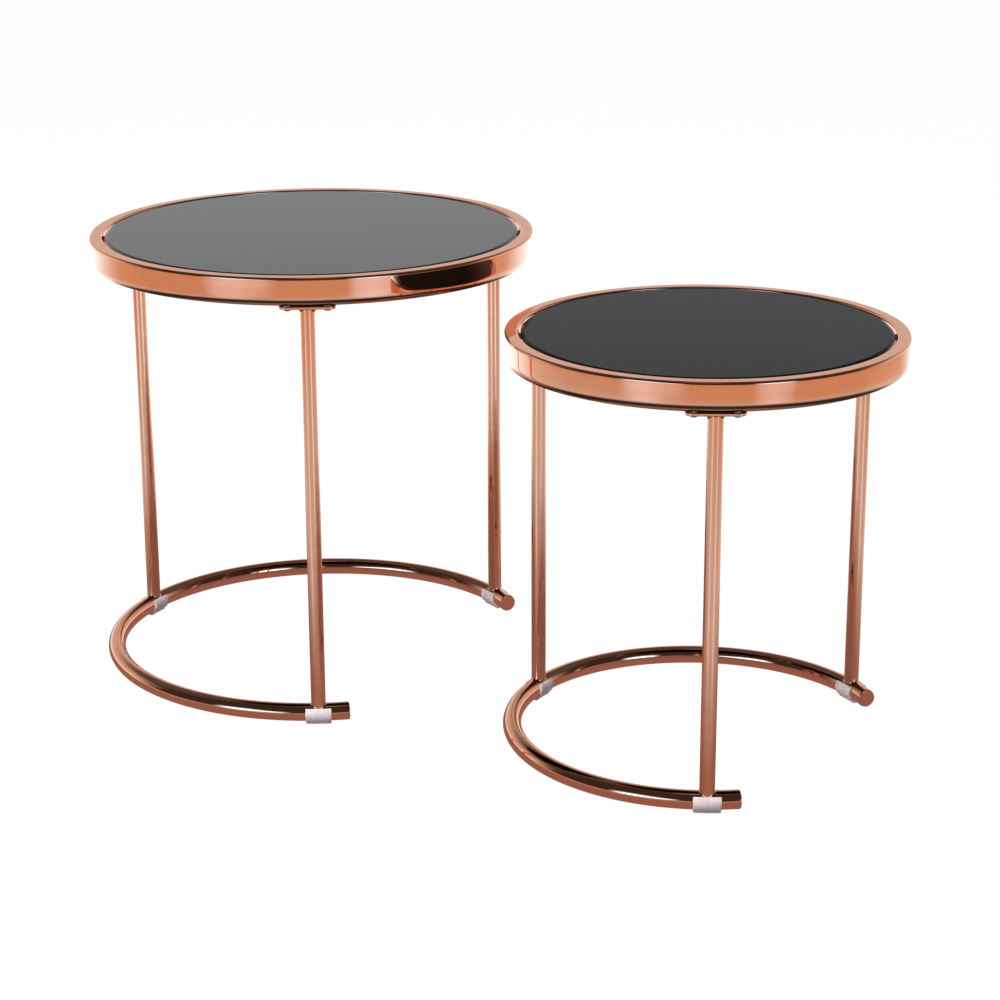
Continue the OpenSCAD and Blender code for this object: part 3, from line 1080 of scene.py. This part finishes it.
def makeTabItem(table):
    # a flat tab with a round inner end; X points away from the table's centre
    half = table["tabWidth"] / 2
    tip, rim = table["tabTip"] + half, table["ringInner"] + tabShape["overlap"]
    low, high, edge = table["tabBottom"], table["tabTop"], tabShape["edge"]
    outline = arcPoints((tip, 0), half, 90, 270, tabShape["endSteps"])
    outline += [(tip + (rim - tip) * s, -half) for s in (0.5, 1.0)]
    outline += [(tip + (rim - tip) * s, half) for s in (1.0, 0.5)]
    points, rows = [], []
    for inset, height in softLayers(edge, low, high):
        share, row = 1 - inset / half, []
        for x, y in outline:
            middleX = min(max(x, tip), rim)
            row.append(Vector((middleX + (x - middleX) * share, y * share, height)))
        rows.append(addRow(points, row))
    return newPiece("tabItem", points, joinRows(rows), plateCopper)


def makePadItem(table):
    radius, low, high = table["padRadius"], table["tabTop"], table["padTop"]
    outline = [(0, low), (radius, low), (radius, high), (0, high)]
    points, faces = lathe(softened(outline, tabShape["padEdge"]), tabShape["padSteps"])
    return newPiece("padItem", points, faces, padRubber)


def makeTabs(table):
    name = table["name"]
    sets = (
        ("GlassTabs", makeTabItem(table), 0.0, plateCopper, "ring_copper",
         [f"{name}_glass_tab_{tab}" for tab in tabNames]),
        ("GlassPads", makePadItem(table), table["tabTip"] + table["tabWidth"] / 2, padRubber, "pad_rubber",
         [f"{name}_glass_pads"]),
    )
    for label, item, circle, material, slot, nodes in sets:
        piece = growPiece(f"{name}{label}", setRound, {
            "Item": item,
            "Centre": table["centre"],
            "Circle Radius": circle,
            "Count": len(tabNames),
            "First Angle": table["tabAngle"],
            "Material": material,
        })
        bpy.data.objects.remove(item)
        finishPiece(piece, f"{name}_frame", slot, *nodes)


for table in tables:
    makeTabs(table)
print("tabs and pads set")

glideShape = {
    "foot": 0.0055,  # half the width of the flat foot
    "footEdge": 0.0006,
    "endEdge": 0.0005,
    "corner": 0.3,  # where a rounded edge passes its corner, as a share of the edge
    "steps": 28,
    "lipSteps": 8,
    "stations": (-0.6, -0.3, 0.0, 0.3, 0.6),  # rows along it, as shares of half its length
}


def glideSection(table, shrink):
    # closed outline round the base tube: outer arc, flat foot, lips, inner arc
    inner, outer = table["baseRadius"], table["glideRadius"] - shrink
    lip = math.degrees(table["glideLip"])
    foot, floor = glideShape["foot"] - shrink, -table["baseHeight"] + shrink
    soft, corner = glideShape["footEdge"], glideShape["footEdge"] * glideShape["corner"]
    footMeet = -math.degrees(math.acos(foot / outer))
    points = arcPoints((0, 0), outer, footMeet, lip, glideShape["steps"])
    middle, thick = (inner + outer) / 2, (outer - inner) / 2
    centre = (middle * math.cos(math.radians(lip)), middle * math.sin(math.radians(lip)))
    points += arcPoints(centre, thick, lip, lip + 180, glideShape["lipSteps"])[1:-1]
    points += arcPoints((0, 0), inner, lip, -180 - lip, 2 * glideShape["steps"])
    centre = (-centre[0], centre[1])
    points += arcPoints(centre, thick, -lip, 180 - lip, glideShape["lipSteps"])[1:-1]
    points += arcPoints((0, 0), outer, 180 - lip, 180 - footMeet, glideShape["steps"])
    side = [(foot, floor + soft * 1.5), (foot, floor + soft), (foot - corner, floor + corner),
            (foot - soft, floor)]
    return points + [(-x, z) for x, z in side] + [(0, floor)] + side[::-1]


def makeGlide(table, index):
    name, edge = table["name"], glideShape["endEdge"]
    half, corner = table["glideLength"] / 2, edge * glideShape["corner"]
    end = [(half, edge), (half - corner, corner), (half - edge, 0)]
    stations = [(-along, shrink) for along, shrink in end]
    stations += [(half * share, 0) for share in glideShape["stations"]] + end[::-1]
    place = table["centre"] + upward * table["baseHeight"]
    points, rows = [], []
    for along, shrink in stations:
        outward = directionAt(table["legAngles"][index] + along / table["legCircle"])
        section = glideSection(table, shrink)
        rows.append(addRow(points, [
            place + outward * (table["legCircle"] + x) + upward * z for x, z in section]))
    glide = newPiece(f"{name}Glide_{legNames[index]}", points, joinRows(rows), glidePlastic)
    finishPiece(glide, f"{name}_frame", "glide_plastic", f"{name}_glide_{legNames[index]}")


for table in tables:
    for index in range(len(legNames)):
        makeGlide(table, index)
    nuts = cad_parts[f"{table['name']}_rivet_nuts"]
    nuts.data.materials.clear()
    nuts.data.materials.append(nutSteel)
print("glides clipped on")

studioLight = {
    "backdrop": 1.15,  # brightness of the white sweep behind the tables, near the horizon
    "sweepAloft": 0.68,
    "sweepFade": (3.0, 11.0),  # degrees up, between the one and the other
    "sweepEnd": (16.0, 36.0),  # degrees up, between the whole sweep and what is left of it
    "sweepLeft": 0.15,
    "sweepSides": (-0.05, 0.45),  # where it ends at the sides; 1 is straight ahead
    "ceiling": 0.045,
    "frontWall": 0.30,  # brightness of the room behind the camera, at the horizon
    "wallFade": (0.0, 5.0),  # degrees up, between the wall and the ceiling
    "wallTint": colour(1.0, 0.86, 0.76),
    "strip": 0.5,  # the lamp overhead
    "stripEdge": (82.0, 86.0),
    "softBoxes": ((-141, 8, 1.8), (146, 7, 2.2)),  # degrees from the view, half width, brightness
    "boxSpread": 2.2,  # how far a soft box fades out, in half widths
    "boxFoot": (2.0, 16.0, 0.3),  # degrees up between which it brightens, and its share below them
    "boxTop": (21.0, 27.0),
    "lowStrips": ((-146, 22, 3.6), (146, 14, 3.6)),  # the same three values
    "stripRise": 9.0,  # degrees up of their middle
    "stripHalf": (3.5, 6.5),  # degrees from it, between bright and dark
    "softBoxTint": colour(0.42, 0.84, 1.30),  # cool, so that it looks white in the copper
    "soft": 95.0,  # watts of the panel that lights the matt parts
    "softSize": 1.8,
    "softPlace": (-0.9, -1.3, 1.9),  # right, ahead and up from the middle of the pair
}
floorTone = {
    # painted light and shade on the floor, which only the metal and the glass mirror; the distances are in
    # metres
    "near": colour(0.62, 0.70, 0.74),
    "far": colour(0.66, 0.48, 0.335),
    "farEdge": (1.0, 2.2),
    "behind": colour(1.15, 1.72, 2.25),  # painted pool of light on the floor behind the tables, so bright that the copper in front of it looks white
    "behindTurn": math.radians(5.0),  # how far its middle lies off the view's
    "behindSides": (0.35, 0.9),  # where it ends at the sides; 1 is straight behind the tables
    "behindEdge": (0.3, 0.8),  # distance from the nearer table's rim
    # painted shadows on the floor: under the rims, beside the base tubes and under the tables
    "underRim": colour(0.42, 0.36, 0.35),
    "underRimEdge": (0.55, 0.12),
    "byTube": colour(0.33, 0.22, 0.21),
    "byTubeEdge": (0.16, 0.04),
    "shaded": colour(0.24, 0.18, 0.17),
    "shadedEdge": (-0.03, -0.08),
    "steep": 0.04,  # share of light left where the metal looks steeply down on the floor
    "steepEdge": (0.44, 0.58),
    "straightDown": 0.55,
    "straightEdge": (0.12, 0.30),
    "tubeBand": (0.03, 0.06),  # beside the base tubes no light is taken away
    "sheen": colour(0.30, 0.32, 0.34),
    "sheenEdge": (0.08, 0.45),
    "sheenFar": (1.2, 2.4, 0.4),  # distance between which it weakens, and its share beyond
    "sheenRoughness": 0.13,
    "paper": colour(0.97, 0.97, 0.97),  # what the camera sees
    "shadowTone": colour(0.10, 0.10, 0.10),
    "half": 12.0,
}


def makeStudioWorld(light):
    world = bpy.data.worlds.new("studio")
    scene.world = world
    world.use_nodes = True
    tree = world.node_tree
    tree.nodes.clear()
    way = put(tree, "ShaderNodeTexCoord").outputs["Generated"]
    height = put(tree, "ShaderNodeSeparateXYZ", {0: way}).outputs[2]
    rise = calc(tree, "MULTIPLY", calc(tree, "ARCSINE", height), 180 / math.pi)
    ahead = vectorCalc(tree, "DOT_PRODUCT", way, aheadWay)
    side = vectorCalc(tree, "DOT_PRODUCT", way, rightWay)
    turn = calc(tree, "MULTIPLY", calc(tree, "ARCTAN2", side, ahead), 180 / math.pi)

    sweep = ease(tree, rise, *light["sweepFade"], light["backdrop"], light["sweepAloft"])
    sweep = calc(tree, "MULTIPLY", sweep, ease(tree, rise, *light["sweepEnd"], 1.0, light["sweepLeft"]))
    room = ease(tree, rise, *light["wallFade"], light["frontWall"], light["ceiling"])
    front = ease(tree, ahead, *light["sweepSides"])
    total = calc(tree, "MULTIPLY_ADD", calc(tree, "SUBTRACT", sweep, room), front, room)
    overhead = ease(tree, rise, *light["stripEdge"], 0.0, light["strip"])
    total = calc(tree, "ADD", total, overhead)

    low, high, share = light["boxFoot"]
    boxBand = calc(tree, "MULTIPLY", ease(tree, rise, low, high, share, 1.0),
                   ease(tree, rise, *light["boxTop"], 1.0, 0.0))
    level = calc(tree, "ABSOLUTE", calc(tree, "SUBTRACT", rise, light["stripRise"]))
    stripBand = ease(tree, level, *light["stripHalf"], 1.0, 0.0)
    lamps = [(lamp, 0.0, light["boxSpread"], boxBand) for lamp in light["softBoxes"]]
    lamps += [(lamp, 0.5, 1.0, stripBand) for lamp in light["lowStrips"]]
    boxes = 0.0
    for (middle, half, bright), start, end, band in lamps:
        apart = calc(tree, "ABSOLUTE", calc(tree, "SUBTRACT", turn, middle))
        mask = ease(tree, apart, half * start, half * end, bright, 0.0)
        boxes = calc(tree, "MULTIPLY_ADD", mask, band, boxes)
    warm = mixColour(tree, front, light["wallTint"], colour(1.0, 1.0, 1.0))
    seen = put(tree, "ShaderNodeBackground", {0: colour(1.0, 1.0, 1.0), 1: 1.0})
    room = put(tree, "ShaderNodeBackground", {0: warm, 1: total})
    lamps = put(tree, "ShaderNodeBackground", {0: light["softBoxTint"], 1: boxes})
    lit = put(tree, "ShaderNodeAddShader", {0: room.outputs[0], 1: lamps.outputs[0]})
    ray = put(tree, "ShaderNodeLightPath").outputs["Is Camera Ray"]
    both = put(tree, "ShaderNodeMixShader", {0: ray, 1: lit.outputs[0], 2: seen.outputs[0]})
    put(tree, "ShaderNodeOutputWorld", {0: both.outputs[0]})


def makeSoftPanel(light):
    # lights the matt parts only; the polished ones mirror the room instead
    data = bpy.data.lights.new("softPanel", "AREA")
    data.size, data.energy = light["softSize"], light["soft"]
    panel = bpy.data.objects.new("softPanel", data)
    right, ahead, up = light["softPlace"]
    place = rightWay * right + aheadWay * ahead + upward * up
    panel.location = place
    panel.rotation_euler = (-place).to_track_quat("-Z", "Y").to_euler()
    panel.visible_camera = False
    panel.visible_glossy = False
    scene.collection.objects.link(panel)


def makeFloor(tone):
    # a plain white floor for the camera; for the polished metal it carries painted light and shade, and
    # darkens under the tables
    half = tone["half"]
    points = [(-half, -half, 0), (half, -half, 0), (half, half, 0), (-half, half, 0)]
    mesh = bpy.data.meshes.new("floor")
    mesh.from_pydata(points, [], [(0, 1, 2, 3)])
    floor = bpy.data.objects.new("floor", mesh)
    scene.collection.objects.link(floor)
    material = bpy.data.materials.new("floorPaper")
    material.use_nodes = True
    mesh.materials.append(material)
    tree = material.node_tree
    tree.nodes.clear()
    place = put(tree, "ShaderNodeTexCoord").outputs["Object"]
    gap = None
    for table in tables:
        apart = vectorCalc(tree, "DISTANCE", place, table["centre"])
        apart = calc(tree, "SUBTRACT", apart, table["ringRadius"])
        gap = apart if gap is None else calc(tree, "MINIMUM", gap, apart)
    axis = Matrix.Rotation(tone["behindTurn"], 3, "Z") @ aheadWay
    ahead = vectorCalc(tree, "DOT_PRODUCT", vectorCalc(tree, "NORMALIZE", place), axis)
    away = vectorCalc(tree, "LENGTH", place)
    tint = mixColour(tree, ease(tree, away, *tone["farEdge"]), tone["near"], tone["far"])
    behind = calc(tree, "MULTIPLY", ease(tree, ahead, *tone["behindSides"]),
                  ease(tree, gap, *tone["behindEdge"]))
    tint = mixColour(tree, behind, tint, tone["behind"])
    # painted shadows on the floor round and under the tables
    for zone in ("underRim", "byTube", "shaded"):
        tint = mixColour(tree, ease(tree, gap, *tone[f"{zone}Edge"]), tint, tone[zone])
    facing = put(tree, "ShaderNodeLayerWeight", {0: 0.5}).outputs["Facing"]
    grazing = ease(tree, facing, *tone["steepEdge"], tone["steep"], 1.0)
    straight = ease(tree, facing, *tone["straightEdge"], tone["straightDown"], 0.0)
    grazing = calc(tree, "ADD", grazing, straight)
    byTube = ease(tree, calc(tree, "ABSOLUTE", gap), *tone["tubeBand"])
    dimmed = calc(tree, "MULTIPLY_ADD", calc(tree, "SUBTRACT", grazing, 1.0), byTube, 1.0)
    glow = put(tree, "ShaderNodeEmission", {0: tint, 1: dimmed})
    start, end, share = tone["sheenFar"]
    sheenShare = calc(tree, "MULTIPLY", ease(tree, gap, *tone["sheenEdge"]),
                      ease(tree, away, start, end, 1.0, share))
    sheenTint = mixColour(tree, sheenShare, colour(0, 0, 0), tone["sheen"])
    sheen = put(tree, "ShaderNodeBsdfGlossy", {0: sheenTint, 1: tone["sheenRoughness"]})
    picked = put(tree, "ShaderNodeAddShader", {0: glow.outputs[0], 1: sheen.outputs[0]})
    plain = put(tree, "ShaderNodeEmission", {0: tone["paper"], 1: 1.0})
    paper = put(tree, "ShaderNodeBsdfDiffuse", {0: tone["shadowTone"]})
    shown = put(tree, "ShaderNodeAddShader", {0: plain.outputs[0], 1: paper.outputs[0]})
    ray = put(tree, "ShaderNodeLightPath").outputs["Is Camera Ray"]
    both = put(tree, "ShaderNodeMixShader", {0: ray, 1: picked.outputs[0], 2: shown.outputs[0]})
    put(tree, "ShaderNodeOutputMaterial", {0: both.outputs[0]})


makeStudioWorld(studioLight)
makeSoftPanel(studioLight)
makeFloor(floorTone)
scene.view_settings.view_transform = "Standard"
scene.view_settings.look = "None"
print("studio lit")
